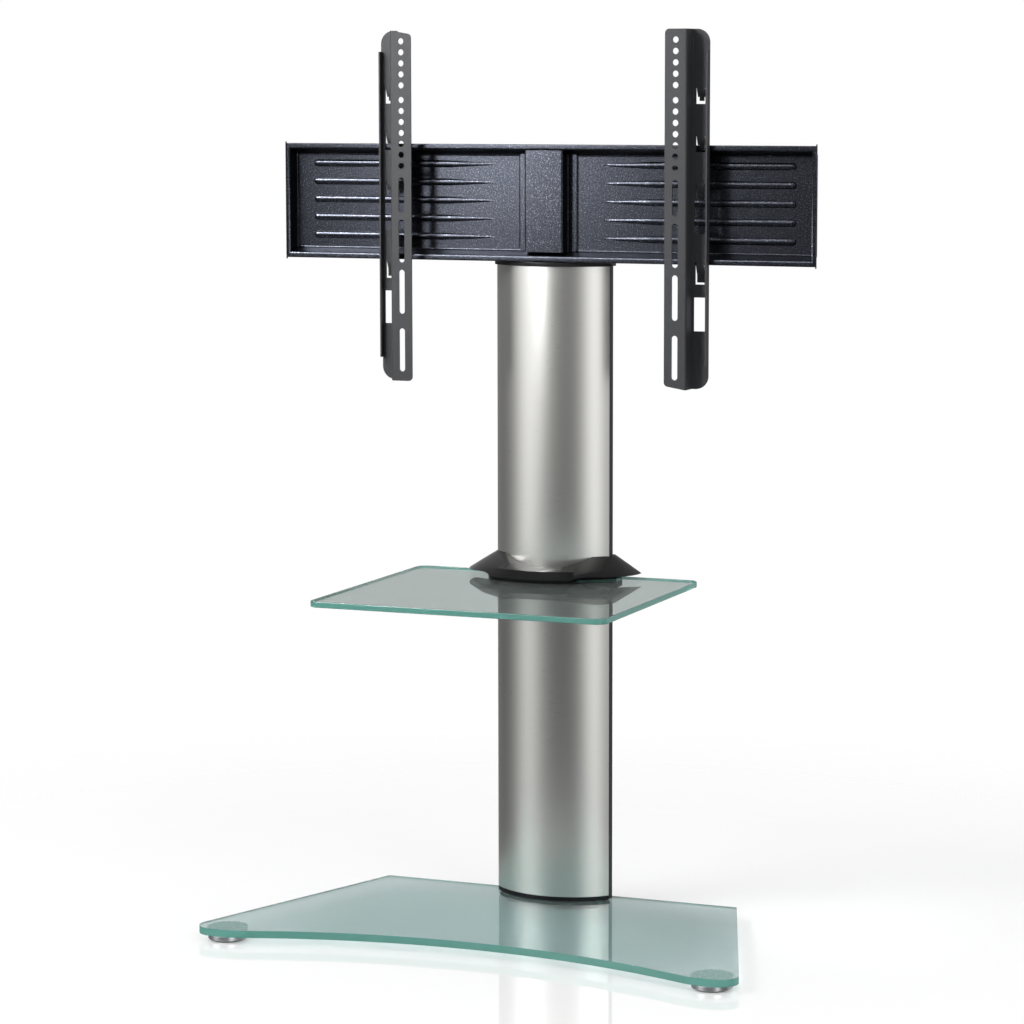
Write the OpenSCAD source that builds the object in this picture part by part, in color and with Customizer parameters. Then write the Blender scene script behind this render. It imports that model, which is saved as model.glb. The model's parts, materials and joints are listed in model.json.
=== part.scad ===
// Floor stand for a screen: glass base, half-round column, sliding glass shelf and a hook-on mount.
// X runs across the stand, -Y is the front, Z is up. The origin is on the floor under the middle of the base.

/* [Base glass] */
// Width of the base glass on its front line, before the corners are rounded
base_front_w = 790; // [700:1:860]
// Width of the base glass along its back edge
base_back_w = 528; // [480:1:600]
// Depth of the base glass
base_d = 380; // [350:1:430]
// Thickness of the base glass
base_t = 10; // [8:0.5:12]
// Distance from the end of the front line to the most forward point of a lobe
lobe_in = 52; // [45:1:70]
// Depth of the hollow front edge at the middle
base_front_bow = 62; // [50:1:68]
// Radius that blends the hollow edge into the corner lobes
lobe_r = 90; // [60:5:120]
// Radius of the front corners
base_corner_r = 25; // [15:1:32]
// Radius of the back corners
base_back_r = 4; // [2:0.5:8]

/* [Feet] */
// Diameter of the discs that are bonded under the front corners
foot_disc_d = 56; // [45:1:60]
// Thickness of the bonded discs
foot_disc_t = 1.5; // [1:0.1:2]
// Diameter of the chromed foot bodies
foot_body_d = 54; // [40:1:56]
// Height from the floor to the underside of the base glass
foot_h = 10; // [8:0.5:14]
// Diameter of the pads under the front feet
foot_pad_d = 46; // [30:1:50]
// Thickness of the pads under the front feet
foot_pad_t = 1.5; // [1:0.1:2]
// Chamfer on the foot bodies
foot_chamfer = 1; // [0.5:0.1:1.5]
// Distance from the middle of a foot to the front line
foot_front_in = 31; // [30:0.5:45]
// Distance across the stand from the middle of a foot to the side edge
foot_side_in = 36.5; // [33:0.5:50]
// Diameter of the two glides under the column
glide_d = 24; // [18:1:26]
// Distance of each glide from the middle
glide_x = 55; // [53:1:57]

/* [Column] */
// Width of the column
col_w = 167; // [160:1:190]
// Rise of the column's round front
col_bow = 36; // [32:1:40]
// Depth of the straight sides behind the round front
col_side = 14; // [12:1:20]
// Wall of the aluminium front shell
shell_wall = 2.5; // [2:0.1:3]
// Wall of the back cover
cover_wall = 2; // [1.5:0.1:2.5]
// Depth of the clip legs inside the shell
clip_leg_d = 8; // [6:0.5:10]
// Distance from the column's back to the back edge of the base
col_back_gap = 10; // [8:0.5:15]
// Height of the trim ring under the column
ring_h = 6; // [5:0.5:10]
// How far the top cap stands out round the column
trim_out = 3; // [2:0.25:4]
// Width of the ring on which the column stands
ring_ledge = 5; // [4:0.25:6]
// Thickness of the top cap above the column
cap_t = 3.5; // [2.5:0.25:5]
// Depth of the cap's skirt round the column
cap_skirt = 2.5; // [2:0.25:5]

/* [Inner post] */
// Width of the steel post inside the column
post_w = 50; // [40:1:56]
// Depth of the steel post
post_d = 25; // [20:1:25]
// Wall of the steel post
post_wall = 2.5; // [2:0.25:3]
// Thickness of the plate at the foot of the post
post_plate_t = 8; // [6:0.5:10]
// Distance from the upper head bolt to the top of the post
post_over_bolt = 18; // [17:0.5:22]
// Thickness of the end plug on the post
plug_t = 3; // [2:0.5:4]
// Depth to which the plug reaches into the post
plug_depth = 12; // [8:0.5:12.5]
// Thickness of the clamp plate under the base glass
clamp_t = 5; // [4.5:0.25:6]
// Thickness of each rubber gasket between steel and glass
gasket_t = 1; // [0.5:0.1:1.5]
// Diameter of the bolts through the base glass
base_bolt_d = 8; // [6:0.5:8]
// Distance of the inner pair of bolts from the middle
bolt_in_x = 42; // [38:1:43]
// Distance of the outer pair of bolts from the middle
bolt_out_x = 68; // [66:1:70]
// Distance from the bolts to the column's back
bolt_back_in = 14; // [12:0.5:15]
// Height of the nuts on the bolts
nut_h = 6; // [4:0.5:8]

/* [Wall plate] */
// Width of the pressed wall plate between its end strips
plate_w = 776; // [700:1:900]
// Height of the wall plate
plate_h = 160; // [158:1:180]
// Height of the wall plate's lower edge above the floor
plate_z = 912; // [850:1:1000]
// Thickness of the pressed sheet
plate_t = 2; // [1.5:0.1:2.5]
// Depth from the rim's face to the floor of the pressing
pan_d = 21.5; // [18:0.5:24]
// Width of the rim above and below
rim_h = 7.5; // [6:0.5:9]
// Width of the rim at the ends
rim_w = 5.5; // [4:0.5:8]
// Draw-in of the upper and lower walls of the pressing
draft_h = 6.5; // [4:0.5:8]
// Draw-in of the end walls of the pressing
draft_w = 1; // [0.5:0.25:4]
// Distance from the rim's face to the column's front
rim_to_col = 1.5; // [0.5:0.1:4]
// Thickness of the strips along the wall plate's ends
end_t = 1.5; // [1:0.25:3]
// How far the end strips stand above and below the wall plate
end_ear = 2; // [1:0.25:4]
// Depth of the end strips
end_d = 2; // [2:0.25:4]

/* [Ribs] */
// Number of pressed ribs in each half
rib_n = 5; // [3:1:5]
// Distance from one rib to the next
rib_pitch = 25; // [22:0.5:27]
// Radius of a rib's round back
rib_r = 5.25; // [4:0.25:6]
// Height of a rib above the floor of the pressing
rib_h = 3.5; // [2.5:0.1:3.7]
// Distance from the middle to the point of the ribs
rib_in_x = 75; // [70:1:110]
// Length over which a rib runs out to its point
rib_taper = 75; // [60:1:110]
// Distance from the middle to the round outer end of the ribs
rib_out_x = 355; // [300:1:360]
// Height of the middle rib above the middle of the wall plate
rib_lift = 2; // [0:0.5:4]

/* [Centre bracket] */
// Width of the bracket's face
bracket_w = 57; // [54:1:70]
// Width of the bracket over its side flanges
bracket_flange_w = 83; // [78:1:100]
// Thickness of the bracket's sheet
bracket_t = 2; // [1.5:0.1:2.5]
// Distance from the wall plate's lower edge to the bracket's lower end
bracket_low = 13; // [10:0.5:16]
// Distance from the rim's face back to the bracket's face
bracket_in = 1.5; // [0.5:0.1:3]
// Size of the weld beads beside the flanges
weld_r = 2; // [1:0.25:2.5]
// Diameter of the bolts that hold the wall plate on the post
head_bolt_d = 8; // [6:0.5:8]
// Distance from the upper to the lower of these bolts
head_bolt_span = 80; // [60:1:90]

/* [Arms] */
// Distance between the hole rows of the two arms, as hung
arm_spacing = 400; // [200:1:600]
// Height of the arms
arm_h = 481.5; // [478:0.5:520]
// Height of the arms' top above the wall plate's upper edge
arm_rise = 154.5; // [152:0.5:170]
// Thickness of the arms' sheet
arm_t = 2; // [1.5:0.1:2.2]
// Width of the front flange from the hole row to its inner edge
flange_in = 15; // [13:0.5:20]
// Width of the front flange from the hole row to the web
flange_out = 16.5; // [14:0.5:18]
// Depth of the arms from the front flange to the hook plate
arm_d = 25.7; // [24:0.1:30]
// Distance from the hole row to the outer edge of the hook plate
hook_plate_out = 40; // [39:0.5:46]
// Depth of the lip along the outer edge
lip_d = 11; // [8:0.5:13]
// Distance from the top of the arm to the top of the lip
lip_top = 28.5; // [24:0.5:34]
// Distance from the bottom of the arm to the bottom of the lip
lip_bottom = 31; // [24:0.5:36]
// Radius of the outer corners of the hook plate
hook_plate_r = 18; // [12:1:20]
// Radius of the corners of the front flange
flange_r = 6; // [3:0.5:8]
// Slant of the cut end of the front flange
flange_slant = 4; // [2:0.5:7]
// Diameter of the screen holes
hole_d = 8.5; // [7:0.1:9]
// Distance from one screen hole to the next
hole_pitch = 15; // [13:0.5:15]
// Screen holes in the upper group
holes_upper = 5; // [3:1:5]
// Screen holes in the lower group
holes_lower = 7; // [5:1:7]
// Distance between the two groups of holes
group_gap = 20; // [16:0.5:20]
// Distance from the top of the arm to the first hole
hole_top = 14.5; // [12:0.5:15]
// Distance from the first hole to the top of the first slot
slot_a_top = 186; // [182:0.5:188]
// Length of the first slot
slot_a_len = 48; // [40:0.5:50]
// Distance from the first hole to the top of the second slot
slot_b_top = 244; // [242:0.5:248]
// Length of the second slot
slot_b_len = 59; // [50:0.5:62]
// Distance from the first hole to the top of the third slot
slot_c_top = 313; // [310:0.5:318]
// Length of the third slot
slot_c_len = 61; // [50:0.5:70]
// Distance from the first hole to the top of the fourth slot
slot_d_top = 394; // [388:0.5:398]
// Length of the fourth slot
slot_d_len = 60; // [50:0.5:62]

/* [Hooks] */
// Distance from one hook to the next
hook_pitch = 64; // [60:1:66]
// Distance from the top of the hook in use to the rim's upper edge
hook_rise = 12; // [10:0.5:14]
// Width of the hook windows
hook_w = 13; // [12:0.5:15]
// Height of the hook windows
hook_h = 21; // [19:0.5:24]
// Distance from the hole row to the near side of the hook windows
hook_in = 21; // [20:0.5:22]
// Gap between a hook and the sides of its window
hook_side_gap = 1; // [0.5:0.1:1.5]
// Width of the tab that drops behind the rim
tab_w = 6.5; // [5:0.25:8]
// Length of the tab below the rim's upper edge
tab_h = 5.5; // [4:0.25:6.5]
// Height of the window below the lowest hook
view_h = 45.5; // [40:0.5:48]
// Width of the windows without hooks
window_w = 17; // [14:0.5:18]
// Distance from the wall plate's lower edge to the lower tongue
tongue_drop = 1; // [0.5:0.25:3]
// Height of the lower tongue's window
tongue_h = 25; // [20:0.5:26]
// Gap below the lower tongue
tongue_gap = 2.5; // [2:0.25:4]
// Distance from the wall plate's lower edge to the bottom window
grip_drop = 43.5; // [40:0.5:50]
// Height of the bottom window
grip_h = 45.5; // [35:0.5:50]
// Diameter of the small hole above the lower tongue
cord_hole_d = 3; // [2:0.25:3.5]

/* [Shelf] */
// Width of the shelf glass
shelf_w = 420; // [380:1:480]
// Depth of the shelf glass
shelf_d = 372; // [340:1:374]
// Thickness of the shelf glass
shelf_t = 8; // [6:0.5:10]
// Height of the shelf's upper face above the floor
shelf_z = 476; // [300:1:600]
// Distance from the back edge of the shelf to the back edge of the base
shelf_back_gap = 7; // [5:0.5:12]
// Radius of the shelf's corners
shelf_corner_r = 15; // [8:1:25]

/* [Collar] */
// Width of the collar's oval
collar_w = 249; // [234:1:260]
// Half depth of the collar's oval
collar_half_d = 110; // [100:1:116]
// Distance from the column's front to the middle of the oval
collar_mid = 48; // [40:1:50]
// Height of the collar's flat shoulders above its seat
shoulder_h = 29; // [26:0.5:34]
// Width of the oval at the shoulders' height, as a share of its width at the foot
shoulder_share = 0.69; // [0.68:0.01:0.75]
// Depth of the oval at the shoulders' height, as a share of its depth at the foot
shoulder_share_d = 0.37; // [0.36:0.01:0.5]
// Distance from the middle to the inner end of a shoulder
shoulder_in = 66; // [60:1:70]
// Height of the bottom of the hollow between the shoulders above the seat
hollow_h = 14.5; // [11:0.5:16]
// Depth of the oval at the hollow's height, as a share of its depth at the foot
hollow_share_d = 0.9; // [0.85:0.01:0.95]
// Height of the mouths at the sides of the upper half
mouth_h = 4.5; // [3.5:0.1:5]
// How much higher the mouths are at their crown, near the front
mouth_more = 3.5; // [2:0.25:4]
// How much higher the lower half is than the upper one
lower_more = 3; // [1:0.25:4]
// Distance from the middle to a mouth
mouth_in = 56; // [46:1:60]
// Length over which a mouth rises from the glass
mouth_rise = 24; // [12:1:30]
// Width of the collar's core inside the glass cut-out
core_w = 12; // [11:0.25:14]
// Wall of the collar behind the column
collar_back = 4; // [3:0.25:5]
// Diameter of the collar screws
collar_screw_d = 4; // [3:0.25:4.5]
// Angle of the front collar screws from the middle
screw_a = 19; // [15:1:24]
// Depth of the collar screws in the upper half
collar_screw_in = 10; // [8:0.5:12]

/* [Fits] */
// Clearance of the parts that slide
slide_gap = 0.3; // [0.2:0.05:0.5]
// Clearance of the pieces that are put together and stay
seat_gap = 0.3; // [0.1:0.05:0.4]
// Clearance of the bolts in their holes
bolt_gap = 0.4; // [0.2:0.05:0.6]
// Clearance between the glass and what passes through it
glass_gap = 1; // [0.5:0.1:2]

/* [Hidden] */
$fn = 72;
arc_n = 24; // steps in an arc that is written as points
fine = 180; // steps of the wide circles
over = 1; // overrun of the cuts

// Base and feet
base_z = foot_h;
base_top = base_z + base_t;
front_y = -base_d / 2;
back_y = base_d / 2;
blend_x = base_front_w / 2 - lobe_in;
blend_y = front_y + lobe_r;
base_front_r = (pow(blend_x, 2) + pow(base_front_bow, 2)) / (2 * base_front_bow) - lobe_r;
hollow_y = front_y + base_front_bow - base_front_r;
blend_a = atan2(blend_y - hollow_y, blend_x);
side_lean = atan2(base_front_w / 2 - base_back_w / 2, base_d);
corner_x = base_front_w / 2 - base_corner_r / tan((90 - side_lean) / 2);
back_corner_x = base_back_w / 2 - base_back_r * tan((90 - side_lean) / 2);
foot_y = front_y + foot_front_in;
foot_x = base_front_w / 2 - foot_front_in * tan(side_lean) - foot_side_in;
foot_body_h = foot_h - foot_disc_t - foot_pad_t;

// Column, its trim and the post inside it
col_back = back_y - col_back_gap;
col_d = col_bow + col_side;
col_front = col_back - col_d;
col_r = (pow(col_w / 2, 2) + pow(col_bow, 2)) / (2 * col_bow);
col_mid_y = col_front + col_r;
side_y = col_back - col_side;
col_foot_z = base_top + ring_h;
cap_top = plate_z - seat_gap;
col_top_z = cap_top - cap_t;
post_plate_z = base_top + gasket_t;
post_foot_z = post_plate_z + post_plate_t;
post_top_z = plate_z + plate_h / 2 + head_bolt_span / 2 + post_over_bolt;
clamp_z = base_z - gasket_t - clamp_t;
bolt_y = col_back - bolt_back_in;
bolt_xs = [-bolt_out_x, -bolt_in_x, bolt_in_x, bolt_out_x];
bolt_head_d = base_bolt_d * 1.75;
bolt_head_h = base_bolt_d * 0.45;
nut_w_share = 1.6; // width of a nut over its corners, as a share of the bolt

// Wall plate
rim_y = col_front - rim_to_col;
pan_floor_y = rim_y + pan_d;
pan_back_y = pan_floor_y + plate_t;
plate_mid_z = plate_z + plate_h / 2;
plate_top = plate_z + plate_h;
pan_w = plate_w / 2 - rim_w;
pan_h = plate_h / 2 - rim_h;
rib_axis_y = pan_floor_y + rib_r - rib_h;
rib_hollow_r = rib_r - plate_t;
rib_point_r = rib_r - rib_h;
bracket_y = rim_y + bracket_in;

// Arms
arm_back = rim_y - slide_gap;
arm_front = arm_back - arm_d;
arm_top = plate_top + arm_rise;
first_hole_z = arm_top - hole_top;
arm_bottom = arm_top - arm_h;
hook_tops = [for (i = [-1 : 1]) plate_top + hook_rise - i * hook_pitch];
view_top = plate_top + hook_rise - hook_pitch - hook_h;
tongue_top = plate_z - tongue_drop;
slot_tops = [slot_a_top, slot_b_top, slot_c_top, slot_d_top];
slot_lens = [slot_a_len, slot_b_len, slot_c_len, slot_d_len];
hole_drops = concat(
    [for (i = [0 : holes_upper - 1]) i * hole_pitch],
    [for (i = [0 : holes_lower - 1]) (holes_upper - 1 + i) * hole_pitch + group_gap]);

// Shelf and collar
shelf_back = back_y - shelf_back_gap;
shelf_under = shelf_z - shelf_t;
upper_seat = shelf_z + gasket_t;
lower_seat = shelf_under - gasket_t;
shelf_mid_z = shelf_z - shelf_t / 2;
dip_rise = shoulder_h - hollow_h;
dip_r = (pow(shoulder_in, 2) + pow(dip_rise, 2)) / (2 * dip_rise);
oval_y = col_front + collar_mid;
collar_back_y = col_back + slide_gap + collar_back;
core_screw_r = core_w / 2;
collar_head_d = collar_screw_d * 1.8;
collar_head_h = collar_screw_d;
lower_drop = shoulder_h + lower_more + shelf_t;

// Points of an arc, from angle a0 to a1
function arc(x, y, r, a0, a1) =
    [for (i = [0 : arc_n]) let (a = a0 + (a1 - a0) * i / arc_n) [x + r * cos(a), y + r * sin(a)]];

// The same outline on the other side of the middle, in reverse order
function mirrored(points) = [for (i = [len(points) - 1 : -1 : 0]) [-points[i][0], points[i][1]]];

// Right half of the base glass, from the middle of the hollow front edge round to the back
function base_half() = concat(
    arc(0, hollow_y, base_front_r, 90, blend_a),
    arc(blend_x, blend_y, lobe_r, blend_a + 180, 270),
    arc(corner_x, front_y + base_corner_r, base_corner_r, -90, side_lean),
    arc(back_corner_x, back_y - base_back_r, base_back_r, side_lean, 90));

module both_sides() {
    children();
    mirror([1, 0, 0]) children();
}

// A rectangle with its four corners rounded, from its lower left corner
module rounded_rect(w, d, r) {
    hull()
        for (x = [r, w - r], y = [r, d - r])
            translate([x, y]) circle(r = r);
}

// The column's outline, made larger all round by grow: a round front and straight sides
module column_outline(grow) {
    intersection() {
        translate([0, col_mid_y]) circle(r = col_r + grow, $fn = fine);
        translate([-col_w / 2 - grow, col_front - grow - over])
            square([col_w + 2 * grow, col_d + 2 * grow + over]);
    }
}

// A hexagon nut or bolt head along Z
module hexagon(d, h) {
    cylinder(d = d, h = h, $fn = 6);
}

// Base and feet

module base_glass() {
    color([0.62, 0.8, 0.76, 0.55])
        difference() {
            translate([0, 0, base_z])
                linear_extrude(base_t) polygon(concat(mirrored(base_half()), base_half()));
            for (x = bolt_xs)
                translate([x, bolt_y, base_z - over])
                    cylinder(d = base_bolt_d + 2 * glass_gap, h = base_t + 2 * over);
        }
}

module front_foot_discs() {
    color("silver")
        both_sides()
            translate([foot_x, foot_y, base_z - foot_disc_t])
                cylinder(d = foot_disc_d, h = foot_disc_t);
}

module front_foot_bodies() {
    color("gainsboro")
        both_sides()
            translate([foot_x, foot_y, foot_pad_t])
                rotate_extrude()
                    polygon([
                        [0, 0],
                        [foot_body_d / 2 - foot_chamfer, 0],
                        [foot_body_d / 2, foot_chamfer],
                        [foot_body_d / 2, foot_body_h - foot_chamfer],
                        [foot_body_d / 2 - foot_chamfer, foot_body_h],
                        [0, foot_body_h]]);
}

module front_foot_pads() {
    color("dimgray")
        both_sides()
            translate([foot_x, foot_y, 0]) cylinder(d = foot_pad_d, h = foot_pad_t);
}

module rear_glides() {
    color("dimgray")
        both_sides()
            translate([glide_x, bolt_y, 0]) cylinder(d = glide_d, h = clamp_z);
}

module clamp_plate() {
    color("dimgray")
        difference() {
            translate([0, 0, clamp_z]) linear_extrude(clamp_t) column_outline(-shell_wall);
            for (x = bolt_xs)
                translate([x, bolt_y, clamp_z]) {
                    translate([0, 0, -over])
                        cylinder(d = base_bolt_d + 2 * bolt_gap, h = clamp_t + 2 * over);
                    cylinder(d1 = bolt_head_d + 2 * bolt_gap, d2 = base_bolt_d + 2 * bolt_gap,
                        h = bolt_head_h);
                }
        }
}

// A rubber sheet with the column's outline and holes for the bolts
module gasket_sheet(z) {
    color([0.15, 0.15, 0.15])
        difference() {
            translate([0, 0, z]) linear_extrude(gasket_t) column_outline(-ring_ledge - seat_gap);
            for (x = bolt_xs)
                translate([x, bolt_y, z - over])
                    cylinder(d = base_bolt_d + 2 * bolt_gap, h = gasket_t + 2 * over);
        }
}

module lower_gasket() {
    gasket_sheet(base_z - gasket_t);
}

module upper_gasket() {
    gasket_sheet(base_top);
}

module post_base_plate() {
    color("slategray")
        difference() {
            translate([0, 0, post_plate_z])
                linear_extrude(post_plate_t) column_outline(-ring_ledge - seat_gap);
            for (x = bolt_xs)
                translate([x, bolt_y, post_plate_z - over])
                    cylinder(d = base_bolt_d + 2 * bolt_gap, h = post_plate_t + 2 * over);
        }
}

module base_bolts() {
    color("darkgray")
        for (x = bolt_xs)
            translate([x, bolt_y, clamp_z]) {
                cylinder(d1 = bolt_head_d, d2 = base_bolt_d, h = bolt_head_h);
                cylinder(d = base_bolt_d, h = post_foot_z + nut_h - clamp_z);
            }
}

module base_nuts() {
    color("gray")
        for (x = bolt_xs)
            translate([x, bolt_y, post_foot_z])
                difference() {
                    hexagon(base_bolt_d * nut_w_share, nut_h);
                    translate([0, 0, -over]) cylinder(d = base_bolt_d, h = nut_h + 2 * over);
                }
}

// Column

module inner_post() {
    color("slategray")
        difference() {
            translate([-post_w / 2, pan_back_y, post_foot_z])
                cube([post_w, post_d, post_top_z - post_foot_z]);
            translate([-post_w / 2 + post_wall, pan_back_y + post_wall, post_foot_z - over])
                cube([post_w - 2 * post_wall, post_d - 2 * post_wall,
                    post_top_z - post_foot_z + 2 * over]);
            head_bolt_holes(pan_back_y, post_d);
        }
}

module post_plug() {
    color([0.12, 0.12, 0.12]) {
        translate([-post_w / 2, pan_back_y, post_top_z]) cube([post_w, post_d, plug_t]);
        translate([-post_w / 2 + post_wall + seat_gap, pan_back_y + post_wall + seat_gap,
                post_top_z - plug_depth])
            cube([post_w - 2 * (post_wall + seat_gap), post_d - 2 * (post_wall + seat_gap),
                plug_depth]);
    }
}

module column_foot_ring() {
    color([0.08, 0.08, 0.09])
        difference() {
            translate([0, 0, base_top]) linear_extrude(ring_h) column_outline(0);
            translate([0, 0, base_top - over])
                linear_extrude(ring_h + 2 * over) column_outline(-ring_ledge);
        }
}

module column_shell() {
    color([0.72, 0.72, 0.71])
        translate([0, 0, col_foot_z])
            linear_extrude(col_top_z - col_foot_z) {
                difference() {
                    column_outline(0);
                    column_outline(-shell_wall);
                    translate([-col_w, side_y]) square([2 * col_w, col_d]);
                }
                for (s = [-1, 1])
                    translate([s * (col_w / 2 - 1.5 * shell_wall - seat_gap),
                            side_y - shell_wall + clip_leg_d / 2])
                        square([shell_wall, clip_leg_d], center = true);
            }
}

module column_back_cover() {
    color([0.1, 0.1, 0.11])
        translate([0, 0, col_foot_z])
            linear_extrude(col_top_z - col_foot_z)
                difference() {
                    translate([-col_w / 2, side_y]) square([col_w, col_side]);
                    translate([-col_w / 2 + cover_wall, side_y - over])
                        square([col_w - 2 * cover_wall, col_side - cover_wall + over]);
                }
}

module column_top_cap() {
    color([0.06, 0.06, 0.07])
        difference() {
            translate([0, 0, col_top_z - cap_skirt])
                linear_extrude(cap_t + cap_skirt) column_outline(trim_out);
            translate([0, 0, col_top_z - cap_skirt - over])
                linear_extrude(cap_skirt + over) column_outline(seat_gap);
            translate([-post_w / 2 - seat_gap, pan_back_y - seat_gap, col_top_z - over])
                cube([post_w + 2 * seat_gap, post_d + 2 * seat_gap, cap_t + 2 * over]);
        }
}

// Wall plate

// The hollow of the pressing as a block with four drawn-in walls, made larger by grow
module pan_block(grow, depth) {
    wide = pan_w + grow;
    high = pan_h + grow;
    in_w = draft_w * depth / pan_d;
    in_h = draft_h * depth / pan_d;
    intersection() {
        translate([0, 0, plate_z])
            linear_extrude(plate_h)
                polygon([[-wide, rim_y], [wide, rim_y], [wide - in_w, rim_y + depth],
                    [-wide + in_w, rim_y + depth]]);
        translate([-plate_w / 2, 0, plate_mid_z])
            rotate([90, 0, 90])
                linear_extrude(plate_w)
                    polygon([[rim_y, -high], [rim_y, high], [rim_y + depth, high - in_h],
                        [rim_y + depth, -high + in_h]]);
    }
}

// A pressed rib along X with a round outer end and a long run-out towards the middle
module rib(z, thin) {
    translate([0, rib_axis_y, z])
        rotate([0, 90, 0]) {
            translate([0, 0, rib_in_x])
                cylinder(r1 = rib_point_r - thin * rib_point_r / rib_r, r2 = rib_r - thin, h = rib_taper);
            translate([0, 0, rib_in_x + rib_taper])
                cylinder(r = rib_r - thin, h = rib_out_x - rib_r - rib_in_x - rib_taper);
            translate([0, 0, rib_out_x - rib_r]) sphere(r = rib_r - thin);
        }
}

module ribs(thin) {
    both_sides()
        for (i = [0 : rib_n - 1])
            rib(plate_mid_z + rib_lift + (i - (rib_n - 1) / 2) * rib_pitch, thin);
}

module wall_plate() {
    color([0.2, 0.21, 0.24])
        difference() {
            union() {
                translate([-plate_w / 2, rim_y, plate_z]) cube([plate_w, plate_t, plate_h]);
                difference() {
                    pan_block(plate_t, pan_d + plate_t);
                    pan_block(0, pan_d);
                }
                intersection() {
                    ribs(0);
                    translate([-plate_w / 2, rim_y, plate_z])
                        cube([plate_w, pan_d + plate_t / 2, plate_h]);
                }
            }
            intersection() {
                pan_block(0, pan_d);
                difference() {
                    translate([-plate_w / 2, rim_y - over, plate_z])
                        cube([plate_w, pan_d + over, plate_h]);
                    ribs(0);
                }
            }
            translate([-pan_w, rim_y - over, plate_mid_z - pan_h])
                cube([2 * pan_w, over, 2 * pan_h]);
            ribs(plate_t);
            head_bolt_holes(pan_floor_y, plate_t);
        }
}

// One end strip, on the right
module end_strip() {
    color([0.12, 0.12, 0.13])
        translate([plate_w / 2, rim_y, plate_z - end_ear])
            cube([end_t, end_d, plate_h + 2 * end_ear]);
}

module left_end_strip() {
    mirror([1, 0, 0]) end_strip();
}

module right_end_strip() {
    end_strip();
}

// Holes for the head bolts through something that starts at y and is depth deep
module head_bolt_holes(y, depth) {
    for (s = [-1, 1])
        translate([0, y - over, plate_mid_z + s * head_bolt_span / 2])
            rotate([-90, 0, 0]) cylinder(d = head_bolt_d + 2 * bolt_gap, h = depth + 2 * over);
}

module centre_bracket() {
    face = bracket_w / 2;
    flange = bracket_flange_w / 2;
    color([0.36, 0.39, 0.45])
        intersection() {
            translate([0, 0, plate_z + bracket_low])
                linear_extrude(plate_h)
                    difference() {
                        union() {
                            translate([-face, bracket_y]) square([bracket_w, pan_floor_y - bracket_y]);
                            translate([-flange, pan_floor_y - bracket_t])
                                square([bracket_flange_w, bracket_t]);
                        }
                        translate([-face + bracket_t, bracket_y + bracket_t])
                            square([bracket_w - 2 * bracket_t, pan_d]);
                    }
            pan_block(-seat_gap, pan_d);
        }
}

module bracket_welds() {
    high = pan_h - draft_h - weld_r;
    color([0.4, 0.42, 0.47])
        both_sides()
            translate([bracket_flange_w / 2, pan_floor_y, plate_mid_z - high])
                linear_extrude(2 * high)
                    intersection() {
                        circle(r = weld_r);
                        translate([0, -weld_r]) square([weld_r, weld_r]);
                    }
}

// The bolts come in from the back of the post and end in nuts inside the bracket
module head_bolts() {
    color("darkgray")
        for (s = [-1, 1])
            translate([0, pan_back_y + post_d, plate_mid_z + s * head_bolt_span / 2])
                rotate([90, 0, 0]) {
                    translate([0, 0, -nut_h]) hexagon(head_bolt_d * nut_w_share, nut_h);
                    cylinder(d = head_bolt_d, h = post_d + plate_t + nut_h + over);
                }
}

module head_nuts() {
    color("gray")
        for (s = [-1, 1])
            translate([0, pan_floor_y, plate_mid_z + s * head_bolt_span / 2])
                rotate([90, 0, 0])
                    difference() {
                        hexagon(head_bolt_d * nut_w_share, nut_h);
                        translate([0, 0, -over]) cylinder(d = head_bolt_d, h = nut_h + 2 * over);
                    }
}

// Arms, modelled with X measured outwards from the hole row

// Front flange seen from the front, with its slanted end above or below
module flange_face(slant_up) {
    low = slant_up ? 0 : flange_slant;
    high = slant_up ? flange_slant : 0;
    hull() {
        translate([flange_out - arm_t, arm_bottom]) square([arm_t, arm_h]);
        translate([flange_r - flange_in, arm_bottom + low + flange_r]) circle(r = flange_r, $fn = arc_n);
        translate([flange_r - flange_in, arm_top - high - flange_r]) circle(r = flange_r, $fn = arc_n);
    }
}

// Hook plate seen from the front, with its outer corners rounded
module hook_plate_face() {
    difference() {
        translate([flange_out - arm_t, arm_bottom]) square([hook_plate_out - flange_out + arm_t, arm_h]);
        for (up = [0, 1])
            translate([hook_plate_out - hook_plate_r, up ? arm_top - hook_plate_r : arm_bottom + hook_plate_r])
                difference() {
                    translate([0, up ? 0 : -hook_plate_r - over])
                        square([hook_plate_r + over, hook_plate_r + over]);
                    circle(r = hook_plate_r);
                }
    }
}

// Stands a face drawn in X and Z up as a sheet, from y back by depth
module sheet_xz(y, depth) {
    translate([0, y + depth, 0]) rotate([90, 0, 0]) linear_extrude(depth) children();
}

module slot(top, length) {
    hull()
        for (z = [top - hole_d / 2, top - length + hole_d / 2])
            translate([0, z]) circle(d = hole_d);
}

// A tongue bent back out of the hook plate: a slope behind the plate and then a straight drop
module tongue(x, width, top, bend, end) {
    tab_y = rim_y + plate_t + slide_gap;
    slope_y = arm_back - arm_t;
    translate([x, 0, 0])
        rotate([90, 0, 90])
            linear_extrude(width)
                polygon([
                    [slope_y, top], [slope_y, top - arm_t], [tab_y, bend], [tab_y, end],
                    [tab_y + arm_t, end], [tab_y + arm_t, bend + arm_t / 2], [arm_back, top]]);
}

module hook(top) {
    rest = top - hook_rise + slide_gap;
    tongue(hook_in + hook_side_gap, hook_w - 2 * hook_side_gap, top, rest, rest - slide_gap / 2);
    tongue(hook_in + (hook_w - tab_w) / 2, tab_w, top, rest, rest - tab_h);
}

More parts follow.
